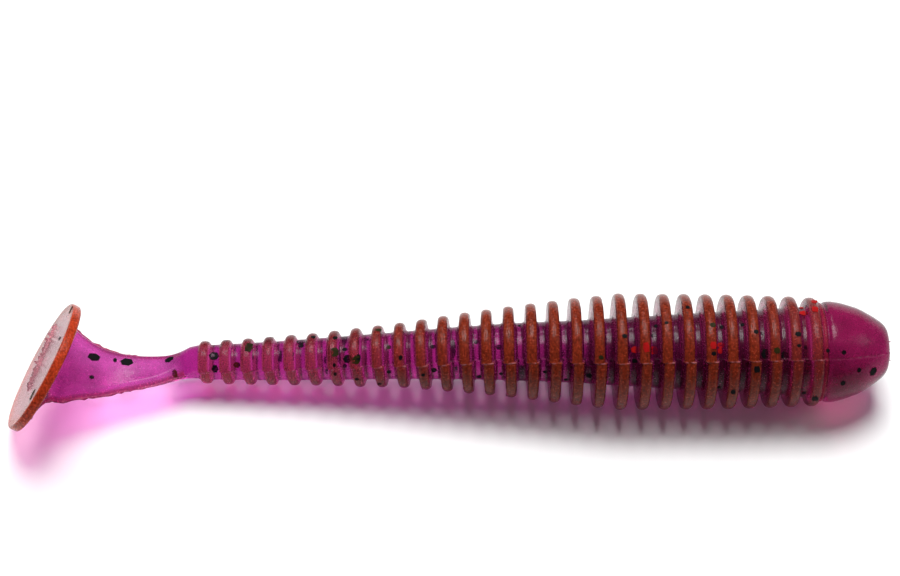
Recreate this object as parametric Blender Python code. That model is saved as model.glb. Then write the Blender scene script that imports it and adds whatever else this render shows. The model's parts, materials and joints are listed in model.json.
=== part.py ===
"""Ribbed paddle-tail soft bait, lying on a flat surface with its nose toward +X.

Row frame: +X toward the nose, +Y to the left of the bait, +Z up, origin on the surface under the
middle. The bait is one soft casting. It is divided at every thin place, where it bends: a shallow
cone or wedge on each side of the place leaves the room that the bend needs.
"""

import math

import bpy
from mathutils import Vector

MM = 0.001

# Body. Each table gives a size at a rib number, with straight lines between
RIB_COUNT = 29
RIB_X = (
    (0, 33.1),
    (1, 31.3),
    (5, 24.1),
    (8, 18.53),
    (12, 10.85),
    (15, 5.18),
    (19, -2.25),
    (24, -11.82),
    (29, -21.33),
    (30, -23.2),
)
AXIS_HEIGHT = 5.0
TAIL_END_HEIGHT = 3.0
DROOP_START_X = 8.0
DROOP_END_X = -22.5
RIB_RADIUS = (
    (1, 4.73),
    (2, 4.81),
    (5, 4.98),
    (10, 5.06),
    (12, 4.66),
    (15, 3.95),
    (20, 2.86),
    (24, 2.29),
    (29, 1.87),
)
CORE_RADIUS = (
    (1, 3.95),
    (3, 3.7),
    (6, 3.4),
    (10, 2.95),
    (12, 2.7),
    (15, 2.48),
    (20, 2.06),
    (29, 1.5),
)
RIB_BASE_THICKNESS = ((1, 1.05), (20, 1.05), (29, 1.1))
RIB_CREST_SHARE = 0.78
RIB_EDGE_DROP = 0.14
ROUND_SIDES = 20

# Room for bending: how far the facing ends lean back, and how far apart their tips are
BODY_CONE_DEG = 6.5
TAIL_WEDGE_DEG = 16.0
TIP_GAP = 0.1
RIGID_GAP = 0.05

# Head: distance forward of the first rib's middle, and radius
HEAD_PROFILE = (
    (1.18, 4.3),
    (1.75, 4.38),
    (2.3, 4.29),
    (2.8, 4.14),
    (3.3, 3.95),
    (3.95, 3.66),
    (4.5, 3.34),
    (5.0, 3.0),
    (5.5, 2.65),
    (5.95, 2.32),
    (6.3, 2.0),
    (6.52, 1.72),
    (6.6, 1.45),
)
HEAD_BACK = 0.95
HEAD_BACK_RADIUS = 4.12

# Tail centre line, front to back: x, y, z, width, thickness, roundness (1 oval, 0 box), tilt in degrees
TAIL_LINE = (
    (-22.2, 0.0, 3.0, 2.96, 2.94, 1.0, 31.0),
    (-22.75, -0.12, 2.95, 2.9, 2.6, 0.95, 28.0),
    (-23.5, -0.3, 2.88, 3.0, 2.1, 0.8, 25.0),
    (-24.3, -0.5, 2.84, 3.2, 1.6, 0.65, 23.0),
    (-25.2, -0.7, 2.83, 3.5, 1.3, 0.5, 21.0),
    (-26.4, -0.89, 2.87, 3.85, 1.2, 0.45, 19.0),
    (-27.5, -1.02, 2.96, 4.1, 1.2, 0.45, 16.5),
    (-28.4, -1.1, 3.08, 4.33, 1.2, 0.45, 14.5),
    (-29.44, -1.18, 3.27, 4.81, 1.2, 0.45, 12.8),
    (-30.47, -1.24, 3.52, 5.43, 1.2, 0.45, 11.2),
    (-31.49, -1.19, 3.78, 6.15, 1.25, 0.45, 10.0),
    (-32.41, -1.15, 4.05, 7.03, 1.35, 0.45, 9.0),
    (-33.25, -1.28, 4.3, 8.01, 1.55, 0.5, 8.0),
)
NECK_JOINT_X = -24.3
STEM_JOINT_X = -27.5
RING_SIDES = 16

# Paddle disc: middle of its rear face, the way that face looks, and how the web meets its front
DISC_CENTRE = Vector((-35.289, -1.73, 5.71))
DISC_NORMAL = Vector((-0.8496, 0.2515, 0.4636)).normalized()
DISC_RADIUS = 6.0
DISC_THICKNESS = 0.85
DISC_BEVEL = 0.16
DISC_SIDES = 48
WEB_TURN_DEG = 1.9
WEB_RISE = 0.12
WEB_ASIDE = 0.3
# Distance from the disc's front face, width and thickness of the flare
WEB_FLARE = ((0.75, 8.17, 1.7), (0.3, 8.96, 2.1), (0.05, 9.56, 2.6))

# Moves the sizes above, which count from the body's own centre line, to the row's origin
TO_ROW = Vector((0.2323, 1.3544, -0.0023))

Y_AXIS = Vector((0, 1, 0))
Z_AXIS = Vector((0, 0, 1))


def along(table, at):
    """Straight-line value between the rows of a table, whose first column is the position."""
    for low, high in zip(table, table[1:]):
        if (at - low[0]) * (at - high[0]) <= 0:
            t = (at - low[0]) / (high[0] - low[0])
            return [a + (b - a) * t for a, b in zip(low[1:], high[1:])]
    ends = sorted((table[0], table[-1]), key=lambda row: abs(row[0] - at))
    return list(ends[0][1:])


def axis_point(x):
    """Body centre line: level under the front ribs, then sagging toward the tail."""
    t = min(1.0, max(0.0, (DROOP_START_X - x) / (DROOP_START_X - DROOP_END_X)))
    sag = t * t * (3 - 2 * t)
    return Vector((x, 0, AXIS_HEIGHT + (TAIL_END_HEIGHT - AXIS_HEIGHT) * sag))


def rib_x(k):
    return along(RIB_X, k)[0]


def valley(k):
    """Bending point between rib k and rib k + 1."""
    return axis_point((rib_x(k) + rib_x(k + 1)) / 2)


def plastic(name, colour):
    """Translucent glossy plastisol."""
    material = bpy.data.materials.new(name)
    material.use_nodes = True
    shader = material.node_tree.nodes["Principled BSDF"]
    shader.inputs["Base Color"].default_value = (*colour, 1)
    shader.inputs["Roughness"].default_value = 0.28
    shader.inputs["Transmission Weight"].default_value = 0.3
    shader.inputs["IOR"].default_value = 1.54
    return material


def solid(name, points, faces, colour, origin):
    """One named object from points in millimetres, with its origin at the given point."""
    mesh = bpy.data.meshes.new(name)
    mesh.from_pydata([(p - origin) * MM for p in points], [], faces)
    mesh.validate()
    mesh.shade_smooth()
    mesh.set_sharp_from_angle(angle=math.radians(32))
    mesh.materials.append(plastic(name, colour))
    obj = bpy.data.objects.new(name, mesh)
    obj.location = (origin + TO_ROW) * MM
    bpy.context.scene.collection.objects.link(obj)
    return obj


def bands(first, count, sides):
    """Side faces joining successive rings of points."""
    faces = []
    for ring in range(count - 1):
        a = first + ring * sides
        for i in range(sides):
            j = (i + 1) % sides
            faces.append((a + i, a + j, a + sides + j, a + sides + i))
    return faces


def turned(name, start, end, profile, colour, origin):
    """Solid of revolution about the line from start to end. The profile holds (distance, radius)
    pairs from start. A zero radius at either end is a point, and any other end is flat."""
    d = (end - start).normalized()
    side = Y_AXIS
    down = side.cross(d).normalized()
    if down.z > 0:
        down = -down
    across = d.cross(down)
    points, faces = [], []
    pointed_start = profile[0][1] == 0
    pointed_end = profile[-1][1] == 0
    rings = [row for row in profile if row[1] > 0]
    for distance, radius in rings:
        for i in range(ROUND_SIDES):
            angle = 2 * math.pi * (i + 0.5) / ROUND_SIDES
            spoke = down * math.cos(angle) + across * math.sin(angle)
            points.append(start + d * distance + spoke * radius)
    faces += bands(0, len(rings), ROUND_SIDES)
    last = (len(rings) - 1) * ROUND_SIDES
    if pointed_start:
        tip = len(points)
        points.append(start + d * profile[0][0])
        faces += [(tip, (i + 1) % ROUND_SIDES, i) for i in range(ROUND_SIDES)]
    else:
        faces.append(tuple(reversed(range(ROUND_SIDES))))
    if pointed_end:
        tip = len(points)
        points.append(start + d * profile[-1][0])
        faces += [(tip, last + i, last + (i + 1) % ROUND_SIDES) for i in range(ROUND_SIDES)]
    else:
        faces.append(tuple(range(last, last + ROUND_SIDES)))
    return solid(name, points, faces, colour, origin)


def rib_profile(k, middle, length):
    """Core, rib k with its rounded crest, and core again, between two pointed ends."""
    crest = along(RIB_RADIUS, k)[0]
    core = along(CORE_RADIUS, k)[0]
    half = along(RIB_BASE_THICKNESS, k)[0] / 2
    narrow = half * RIB_CREST_SHARE
    lean = core * math.tan(math.radians(BODY_CONE_DEG))
    low = TIP_GAP / 2
    high = length - TIP_GAP / 2
    return [
        (low, 0),
        (low + lean, core),
        (middle - half, core),
        (middle - narrow, crest - RIB_EDGE_DROP),
        (middle - narrow / 2, crest),
        (middle + narrow / 2, crest),
        (middle + narrow, crest - RIB_EDGE_DROP),
        (middle + half, core),
        (high - lean, core),
        (high, 0),
    ]


def segment(k, colour):
    """Rib k with its stretch of core, from the valley behind it to the valley ahead of it."""
    start, end = valley(k), valley(k - 1)
    length = (end - start).length
    return turned(f"segment_{k:02d}", start, end, rib_profile(k, length / 2, length), colour, end)


def first_segment(colour):
    """The first rib sits straight against the head, so its front end is flat."""
    start = valley(1)
    middle = rib_x(1) - start.x
    end = start + Vector((middle + HEAD_BACK - RIGID_GAP, 0, 0))
    length = (end - start).length
    rows = rib_profile(1, middle, 2 * middle)[:-3]
    rows += [
        (middle + 0.45, HEAD_BACK_RADIUS),
        (length, HEAD_BACK_RADIUS),
    ]
    return turned("segment_01", start, end, rows, colour, start)


def head(colour):
    start = axis_point(rib_x(1))
    rows = [(HEAD_BACK, HEAD_BACK_RADIUS)] + [tuple(row) for row in HEAD_PROFILE]
    end = start + Vector((HEAD_PROFILE[-1][0], 0, 0))
    return turned("head", start, end, rows, colour, start)


def tail_frame(x):
    """Centre, direction toward the tail, width direction and thickness direction at x."""
    y, z, width, thick, roundness, tilt = along(TAIL_LINE, x)
    ahead = along(TAIL_LINE, min(x + 0.6, TAIL_LINE[0][0]))
    behind = along(TAIL_LINE, max(x - 0.6, TAIL_LINE[-1][0]))
    run = min(x + 0.6, TAIL_LINE[0][0]) - max(x - 0.6, TAIL_LINE[-1][0])
    d = Vector((-run, behind[0] - ahead[0], behind[1] - ahead[1])).normalized()
    w = Vector((0, -math.cos(math.radians(tilt)), math.sin(math.radians(tilt))))
    w = (w - d * w.dot(d)).normalized()
    return Vector((x, y, z)), d, w, d.cross(w), width, thick, roundness


def oval(centre, w, n, width, thick, roundness, lean=0.0, d=None, shift=0.0):
    """Ring of a rounded box. A lean moves each point along d in step with its height off the
    middle plane, so that the ring's end face is a wedge whose edge lies along w."""
    ring = []
    for i in range(RING_SIDES):
        angle = 2 * math.pi * i / RING_SIDES
        c, s = math.cos(angle), math.sin(angle)
        a = math.copysign(abs(c) ** roundness, c) * width / 2 if abs(c) > 1e-9 else 0.0
        b = math.copysign(abs(s) ** roundness, s) * thick / 2 if abs(s) > 1e-9 else 0.0
        point = centre + w * a + n * b
        if d is not None:
            point += d * (abs(b) * lean + shift)
        ring.append(point)
    return ring


def joint_ring(x, sign):
    """Wedge-ended ring at a tail joint: sign +1 for the piece behind it, -1 for the one ahead."""
    centre, d, w, n, width, thick, roundness = tail_frame(x)
    lean = math.tan(math.radians(TAIL_WEDGE_DEG)) * sign
    return oval(centre, w, n, width, thick, roundness, lean, d, sign * TIP_GAP / 2)


def plain_ring(x):
    centre, d, w, n, width, thick, roundness = tail_frame(x)
    return oval(centre, w, n, width, thick, roundness)


def wedge_faces(first, facing_back):
    half = RING_SIDES // 2
    upper = tuple(first + i for i in range(half + 1))
    lower = tuple(first + i % RING_SIDES for i in range(half, RING_SIDES + 1))
    if facing_back:
        return [upper, lower]
    return [tuple(reversed(upper)), tuple(reversed(lower))]


def tail_neck(colour):
    """Tapers from the round core to the flat stem."""
    tip = valley(RIB_COUNT)
    centre, d, w, n, width, thick, roundness = tail_frame(TAIL_LINE[0][0])
    back = (valley(RIB_COUNT) - valley(RIB_COUNT - 1)).normalized()
    across = (w - back * w.dot(back)).normalized()
    lean = width / 2 * math.tan(math.radians(BODY_CONE_DEG))
    front = tip + back * (TIP_GAP / 2 + lean)
    rings = [oval(front, across, back.cross(across), width, thick, roundness)]
    rings += [plain_ring(x) for x in (-22.9, -23.6)]
    rings.append(joint_ring(NECK_JOINT_X, -1))
    points = [p for ring in rings for p in ring]
    faces = bands(0, len(rings), RING_SIDES)
    apex = len(points)
    points.append(tip + back * TIP_GAP / 2)
    faces += [(apex, (i + 1) % RING_SIDES, i) for i in range(RING_SIDES)]
    faces += wedge_faces((len(rings) - 1) * RING_SIDES, True)
    return solid("tail_neck", points, faces, colour, tip)


def tail_stem(colour):
    """Thinnest stretch, where most of the kick happens."""
    rings = [joint_ring(NECK_JOINT_X, 1)]
    rings += [plain_ring(x) for x in (-25.2, -26.4)]
    rings.append(joint_ring(STEM_JOINT_X, -1))
    points = [p for ring in rings for p in ring]
    faces = bands(0, len(rings), RING_SIDES)
    faces += wedge_faces(0, False)
    faces += wedge_faces((len(rings) - 1) * RING_SIDES, True)
    return solid("tail_stem", points, faces, colour, tail_frame(NECK_JOINT_X)[0])


def disc_frame():
    """Directions in the disc's plane: along the web's width, and across it."""
    level = Vector((-DISC_NORMAL.y, DISC_NORMAL.x, 0)).normalized()
    rise = (Z_AXIS - DISC_NORMAL * DISC_NORMAL.z).normalized()
    turn = math.radians(WEB_TURN_DEG)
    w = level * math.cos(turn) + rise * math.sin(turn)
    return w, DISC_NORMAL.cross(w), rise


def tail_web(colour):
    """Fan that widens from the stem and flares onto the disc."""
    rings = [joint_ring(STEM_JOINT_X, 1)]
    rings += [plain_ring(row[0]) for row in TAIL_LINE if row[0] < STEM_JOINT_X - 0.1]
    w, n, rise = disc_frame()
    root = DISC_CENTRE - DISC_NORMAL * DISC_THICKNESS + rise * WEB_RISE + w * WEB_ASIDE
    for distance, width, thick in WEB_FLARE:
        rings.append(oval(root - DISC_NORMAL * distance, w, n, width, thick, 0.6))
    points = [p for ring in rings for p in ring]
    faces = bands(0, len(rings), RING_SIDES)
    faces += wedge_faces(0, False)
    last = (len(rings) - 1) * RING_SIDES
    faces.append(tuple(range(last, last + RING_SIDES)))
    return solid("tail_web", points, faces, colour, tail_frame(STEM_JOINT_X)[0])


def paddle_disc(colour):
    w, n, rise = disc_frame()
    rows = (
        (-DISC_THICKNESS, DISC_RADIUS - DISC_BEVEL),
        (-DISC_THICKNESS + DISC_BEVEL, DISC_RADIUS),
        (-DISC_BEVEL, DISC_RADIUS),
        (0, DISC_RADIUS - DISC_BEVEL),
    )
    points = []
    for distance, radius in rows:
        for i in range(DISC_SIDES):
            angle = 2 * math.pi * (i + 0.5) / DISC_SIDES
            spoke = w * math.cos(angle) + n * math.sin(angle)
            points.append(DISC_CENTRE + DISC_NORMAL * distance + spoke * radius)
    faces = bands(0, len(rows), DISC_SIDES)
    faces.append(tuple(reversed(range(DISC_SIDES))))
    last = (len(rows) - 1) * DISC_SIDES
    faces.append(tuple(range(last, last + DISC_SIDES)))
    return solid("paddle_disc", points, faces, colour, DISC_CENTRE)


def main():
    for obj in list(bpy.data.objects):
        bpy.data.objects.remove(obj)
    head((0.3, 0.02, 0.13))
    first_segment((0.3, 0.04, 0.06))
    for k in range(2, RIB_COUNT + 1):
        segment(k, (0.3, 0.04, 0.06))
    tail_neck((0.42, 0.03, 0.25))
    tail_stem((0.5, 0.04, 0.4))
    tail_web((0.55, 0.05, 0.45))
    paddle_disc((0.6, 0.15, 0.15))


main()
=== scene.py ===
"""Looks of a ribbed paddle-tail soft bait lying on a white table.

The casting is translucent plastisol with black and red flakes. Its skin is made in pieces that meet
in the middle of each rib, and each piece spans the valley between two ribs.
"""

import json
import math
import random

import bpy
import numpy as np
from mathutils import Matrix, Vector, noise


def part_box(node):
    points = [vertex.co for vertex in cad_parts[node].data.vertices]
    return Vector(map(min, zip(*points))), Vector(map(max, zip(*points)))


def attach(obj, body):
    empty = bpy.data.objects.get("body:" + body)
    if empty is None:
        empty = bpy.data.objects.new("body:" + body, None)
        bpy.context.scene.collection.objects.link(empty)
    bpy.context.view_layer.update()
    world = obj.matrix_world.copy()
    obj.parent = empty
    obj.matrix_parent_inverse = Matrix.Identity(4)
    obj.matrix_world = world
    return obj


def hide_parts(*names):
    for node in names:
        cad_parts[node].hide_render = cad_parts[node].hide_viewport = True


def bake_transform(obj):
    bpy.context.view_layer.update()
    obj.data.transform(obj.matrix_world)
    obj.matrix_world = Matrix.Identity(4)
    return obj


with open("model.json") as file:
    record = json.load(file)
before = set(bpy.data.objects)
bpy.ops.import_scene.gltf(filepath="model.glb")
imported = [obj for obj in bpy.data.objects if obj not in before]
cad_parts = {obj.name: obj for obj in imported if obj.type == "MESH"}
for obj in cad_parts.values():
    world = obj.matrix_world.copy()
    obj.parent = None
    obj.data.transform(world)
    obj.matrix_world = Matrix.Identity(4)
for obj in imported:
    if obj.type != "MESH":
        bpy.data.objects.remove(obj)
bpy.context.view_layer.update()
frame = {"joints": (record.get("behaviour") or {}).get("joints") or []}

MM = 0.001

# Sizes of the casting in millimetres. The tables' x is counted along the bait from a point near its
# middle, as in the CAD, and TO_ROW moves it into the frame.
RIB_COUNT = 29
FIRST_RIB_X = 31.3
TO_ROW = Vector((0.2323, 1.3544, -0.0023))
# Rib number, and the core's radius or the rib's thickness at its base
CORE_TABLE = (
    (1, 3.95),
    (3, 3.7),
    (6, 3.4),
    (10, 2.95),
    (12, 2.7),
    (15, 2.48),
    (20, 2.06),
    (29, 1.5),
)
BASE_THICKNESS_TABLE = ((1, 1.06), (17, 1.04), (24, 0.96), (29, 0.96))
# Thickness of a rib's crest as a share of that of its base
CREST_SHARE = 0.86
# The ribs are round here; the CAD's rings have flats, and their boxes are a little narrow
RING_SCALE = 1.012

# Height of the parting line on the near side, in degrees above level, from head to tail
SEAM_TABLE = (
    (38.2, 54),
    (16, 50),
    (7, 48),
    (1.2, 45),
    (-2.5, 42),
    (-10, 38),
    (-19.4, 33),
    (-22.2, 31),
)

# Lip and head: distance ahead of the first rib's middle, and radius. The last two lie on the flat
# end of the nose. The core under the first rib is wider than the valleys behind it.
HEAD_PROFILE = (
    (0.62, 4.2),
    (0.68, 4.29),
    (0.76, 4.32),
    (0.84, 4.28),
    (0.92, 4.16),
    (0.98, 4.12),
    (1.06, 4.18),
    (1.14, 4.3),
    (1.26, 4.36),
    (1.5, 4.38),
    (1.75, 4.37),
    (2.3, 4.28),
    (2.8, 4.15),
    (3.3, 3.99),
    (3.95, 3.78),
    (4.5, 3.51),
    (5.0, 3.22),
    (5.5, 2.91),
    (5.95, 2.58),
    (6.25, 2.33),
    (6.45, 2.08),
    (6.57, 1.87),
    (6.6, 1.65),
    (6.6, 1.0),
    (6.6, 0.6),
)
HEAD_CORE = 4.05
LIP_END = 0.9

# How far the middle of the nose lies off the axis of the ribs, and where the head starts to lean
NOSE_SHIFT = Vector((0, 0.2, 0.12))
LEAN_FROM = 1.2

# Torn stubs on the nose: angle up from the near side, distance from the axis, radius and length
NIBS = ((88, 1.5, 0.1, 0.3), (62, 1.5, 0.07, 0.24), (24, 1.45, 0.1, 0.36))

# Neck, stem and web: x, y and z of the middle, width, thickness, roundness (1 is an oval) and tilt
TAIL_LINE = (
    (-22.2, 0.0, 3.0, 2.96, 2.94, 1.0, 31.0),
    (-22.75, -0.12, 2.95, 2.9, 2.6, 0.95, 28.0),
    (-23.5, -0.3, 2.88, 3.0, 2.1, 0.8, 25.0),
    (-24.3, -0.5, 2.84, 3.2, 1.6, 0.65, 23.0),
    (-25.2, -0.7, 2.83, 3.5, 1.3, 0.5, 21.0),
    (-26.4, -0.89, 2.87, 3.85, 1.2, 0.45, 19.0),
    (-27.5, -1.02, 2.96, 4.1, 1.2, 0.45, 16.5),
    (-28.4, -1.1, 3.08, 4.33, 1.2, 0.45, 14.5),
    (-29.44, -1.18, 3.27, 4.81, 1.2, 0.45, 12.8),
    (-30.47, -1.24, 3.52, 5.43, 1.2, 0.45, 11.2),
    (-31.49, -1.19, 3.78, 6.15, 1.25, 0.45, 10.0),
    (-32.41, -1.09, 4.05, 7.03, 1.35, 0.45, 9.0),
    (-33.25, -0.98, 4.3, 8.01, 1.55, 0.5, 8.0),
)
DISC_CENTRE = Vector((-35.289, -1.73, 5.71))
# Where one stretch of tail skin ends and the next begins: in the neck, the stem and the web
NECK_SPLIT = -23.3
STEM_SPLIT = -25.9
WEB_SPLIT = -28.7

# An oval outline turns into a plate while its roundness falls by this much from 1. The plate's edges
# are bevelled over this share of half its thickness, and its corners rounded over this length.
PLATE_SPAN = 0.55
PLATE_BEVEL = 0.85
CORNER_ROUNDING = 0.16
OUTLINE_POINTS = 241

DISC_NORMAL = Vector((-0.8496, 0.2515, 0.4636)).normalized()
DISC_RISE = (Vector((0, 0, 1)) - DISC_NORMAL * DISC_NORMAL.z).normalized()
DISC_RADIUS = 6.0
DISC_THICKNESS = 0.85
DISC_COLUMNS = 128
# Turn of the web's end on the disc, and its distance up and sideways from the disc's middle
WEB_TURN_DEG = 1.9
WEB_RISE = 0.12
WEB_ASIDE = 0.3
# How far along its way to the disc each ring of the web's flare lies, and the flare's size at its end
WEB_FLARE_STEPS = (0.15, 0.3, 0.45, 0.6, 0.72, 0.82, 0.9, 0.96, 1.0)
WEB_FLARE_WIDTH = 9.75
WEB_FLARE_THICKNESS = 2.7
WEB_FLARE_ROUNDNESS = 0.55

# From head to tail: how far the two halves of the mould were out of line, how far the flash stands
# out at the parting line and how much further on the sides of the ribs, and how orange the crests are
MISMATCH_TABLE = ((32.6, 0.015), (31.9, 0.085), (-21, 0.085), (-24, 0.015))
FLASH_TABLE = ((40, 0.045), (-23, 0.045), (-26, 0.12), (-34, 0.2))
RIB_SIDE_FLASH = 0.09
WARM_TABLE = (
    (40, 0.7),
    (31, 0.7),
    (26, 1.0),
    (4, 1.0),
    (-4, 0.8),
    (-10, 0.55),
    (-16, 0.42),
    (-34, 0.3),
)

# Black flakes on the body: distance along the bait, angle round it from the near side upward in
# degrees, size, and shade (0 black, 1 olive, 2 reddish brown)
BLACK_FLAKES = (
    (36.27, 30, 0.78, 0), (34.9, 38, 0.43, 0), (33.55, 23, 0.52, 0), (33.47, 61, 0.43, 0),
    (32.0, 63, 0.35, 0), (31.31, 3, 0.87, 0), (30.88, -4, 0.43, 0), (30.15, 67, 0.35, 0),
    (29.65, 68, 0.35, 0), (29.6, 80, 0.52, 0), (28.46, 57, 0.78, 0), (27.68, 63, 0.61, 1),
    (27.01, 59, 0.87, 0), (26.65, 87, 0.35, 0), (26.17, 44, 0.7, 0), (26.02, 82, 0.43, 0),
    (25.34, 102, 0.43, 0), (24.19, 18, 0.52, 0), (23.29, 99, 0.43, 0), (23.17, -1, 0.35, 0),
    (22.4, 60, 0.43, 0), (22.39, 89, 0.52, 1), (20.16, 111, 0.43, 0), (18.15, 91, 0.35, 0),
    (18.08, 106, 0.43, 0), (17.46, 88, 0.52, 0), (16.09, 47, 0.52, 0), (14.87, 77, 0.43, 0),
    (12.75, 56, 0.43, 1), (12.03, 14, 0.61, 0), (10.01, -3, 0.43, 0), (8.15, 20, 0.35, 0),
    (5.95, 126, 0.35, 0), (4.47, 12, 0.35, 0), (4.19, 72, 0.52, 0), (2.5, 0, 0.52, 0),
    (2.22, 85, 0.43, 0), (-1.39, 22, 0.52, 0), (-1.65, 79, 0.43, 0), (-2.42, 27, 0.35, 0),
    (-4.39, 58, 0.43, 0), (-5.53, 84, 0.43, 1), (-5.54, 19, 0.43, 0), (-6.15, 0, 0.35, 0),
    (-6.41, 120, 0.52, 1), (-7.37, 112, 0.35, 0), (-7.76, 62, 0.52, 0), (-8.13, 15, 0.35, 0),
    (-8.19, 57, 0.87, 1), (-8.73, 59, 0.87, 0), (-9.17, 40, 0.43, 0), (-9.35, 85, 0.43, 0),
    (-9.94, 28, 0.35, 0), (-10.02, 75, 0.96, 1), (-10.05, 109, 0.43, 0), (-10.1, 48, 0.35, 0),
    (-11.99, 120, 0.43, 0), (-12.97, 125, 0.87, 0), (-13.12, 106, 0.52, 0), (-17.36, 100, 1.04, 1),
    (-18.5, 52, 0.61, 2), (-20.42, 39, 0.7, 0), (-20.51, 83, 0.87, 0),
)
RED_FLAKES = (
    (31.5, 128, 0.8, 0), (31.2, 112, 0.9, 0), (30.6, 120, 0.9, 0), (30.52, 138, 0.6, 0),
    (23.13, 71, 0.61, 0), (22.67, 63, 0.52, 0), (22.32, 68, 0.7, 0), (17.26, 64, 0.78, 0),
    (16.55, 66, 0.87, 0), (16.12, 65, 0.7, 0),
)
# Black flakes in the flat tail: distance along the bait, distance across it toward the near side,
# size and shade
TAIL_FLAKES = (
    (-24.38, -0.28, 0.78, 0), (-24.14, 1.34, 0.52, 2), (-28.19, -0.74, 1.04, 0), (-29.22, -0.94, 0.43, 0),
    (-31.12, 1.15, 0.43, 0), (-31.17, -1.05, 1.04, 0),
)
# Flakes on the disc's rear face: distances along the web's end and square to it, size and shade
DISC_FLAKES = ((3.9, 2.4, 0.95, 1), (-4.3, 3.5, 0.7, 1), (-1.2, 3.9, 0.4, 0))
DISC_FRONT_FLAKES = 5
# Flakes on the sides that the photo doesn't show: how many, how many of ten are large, and where
HIDDEN_FLAKES = 80
LARGE_IN_TEN = 2
HIDDEN_X = (-21.5, 36.5)
HIDDEN_ANGLES = (160, 325)
# How far a flake's outer face stands out of the plastic, and how far its inner face lies in it
FLAKE_LIFT = 0.028
FLAKE_SINK = 0.03
# Distances from the middle of a rib: up to the first a flake lies on the crest, beyond the second in
# the valley, and between them it is moved into the valley
CREST_REACH = 0.42
VALLEY_FROM = 0.8
# A crest flake is moved to this share of its distance from the rib's middle, and it reaches no
# further than this along the bait, on the tall ribs and on the low ones from this number on
CREST_PULL = 0.4
TALL_CREST_REACH = 0.27
LOW_CREST_REACH = 0.34
LOW_RIBS_FROM = 19

# Columns round the body: how many evenly spaced ones, and the distances from a parting line of the
# close ones beside it
COLUMNS = 88
SEAM_COLUMNS = (0.0, 0.035, 0.075, 0.13, 0.2)


def table_at(table, at):
    """Straight-line value of a table of pairs whose first column rises or falls."""
    xs = [row[0] for row in table]
    ys = [row[1] for row in table]
    if xs[0] > xs[-1]:
        xs, ys = xs[::-1], ys[::-1]
    return float(np.interp(at, xs, ys))


def smooth_rows(table, at):
    """Smooth value of every column of a table that falls in x, by cubic pieces."""
    xs = [row[0] for row in table]
    at = min(xs[0], max(xs[-1], at))
    i = 0
    while i < len(xs) - 2 and at < xs[i + 1]:
        i += 1
    t = (at - xs[i]) / (xs[i + 1] - xs[i])
    p1, p2 = np.array(table[i][1:]), np.array(table[i + 1][1:])
    step = xs[i + 1] - xs[i]
    before = table[i - 1] if i > 0 else table[i]
    after = table[i + 2] if i + 2 < len(table) else table[i + 1]
    m1 = (p2 - np.array(before[1:])) / (xs[i + 1] - before[0]) * step
    m2 = (np.array(after[1:]) - p1) / (after[0] - xs[i]) * step
    return (
        (2 * t**3 - 3 * t**2 + 1) * p1
        + (t**3 - 2 * t**2 + t) * m1
        + (-2 * t**3 + 3 * t**2) * p2
        + (t**3 - t**2) * m2
    )


joint_at = {j["name"]: Vector(j["pos_m"]) / MM for j in frame["joints"]}


def valley(k):
    """Bending point between rib k and rib k + 1, in millimetres, from the frame's joints."""
    if k == 0:
        first = joint_at["side_bend_01"]
        return Vector((2 * (FIRST_RIB_X + TO_ROW.x) - first.x, first.y, first.z))
    side = "side_bend" if k % 2 else "lift_bend"
    return joint_at[f"{side}_{k:02d}"]


def rib_middle(k):
    return (valley(k - 1) + valley(k)) / 2


def rib_direction(k):
    return (valley(k) - valley(k - 1)).normalized()


def rib_radius(k):
    """Half the width of the rib's CAD node across the bait."""
    low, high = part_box(f"segment_{k:02d}")
    return (high.y - low.y) / 2 / MM * RING_SCALE


def base_reach(k):
    """Half the thickness of rib k at its base."""
    return table_at(BASE_THICKNESS_TABLE, k) / 2


def bumpiness(point, size, seed=0.0):
    return noise.noise(point / size + Vector((seed, seed * 1.7, -seed)))


def seam_direction(x, d):
    """Direction from the axis to the parting line on the near side, square to d."""
    angle = math.radians(table_at(SEAM_TABLE, x - TO_ROW.x))
    w = Vector((0, -math.cos(angle), math.sin(angle)))
    return (w - d * w.dot(d)).normalized()


def half_outline(half_width, half_thick, roundness):
    """Upper half of a ring from its near tip to its far tip: an oval, a plate with bevelled edges,
    or something between them."""
    t = np.linspace(0, math.pi, OUTLINE_POINTS)
    oval = np.stack([np.cos(t) * half_width, np.sin(t) * half_thick], 1)
    plate_share = min(1.0, (1 - roundness) / PLATE_SPAN)
    if plate_share == 0:
        return oval
    flat = half_width - PLATE_BEVEL * half_thick
    corners = np.array([(half_width, 0), (flat, half_thick), (-flat, half_thick), (-half_width, 0)])
    length = np.concatenate([[0], np.cumsum(np.linalg.norm(np.diff(corners, axis=0), axis=1))])
    at = np.linspace(0, length[-1], OUTLINE_POINTS)
    plate = np.stack([np.interp(at, length, corners[:, i]) for i in (0, 1)], 1)
    sharp = plate.copy()
    reach = int(CORNER_ROUNDING / (at[1] - at[0]))
    last = OUTLINE_POINTS - 1
    for i in range(1, last):
        near = min(reach, i, last - i)
        plate[i] = sharp[i - near : i + near + 1].mean(0)
    return oval * (1 - plate_share) + plate * plate_share


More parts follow.
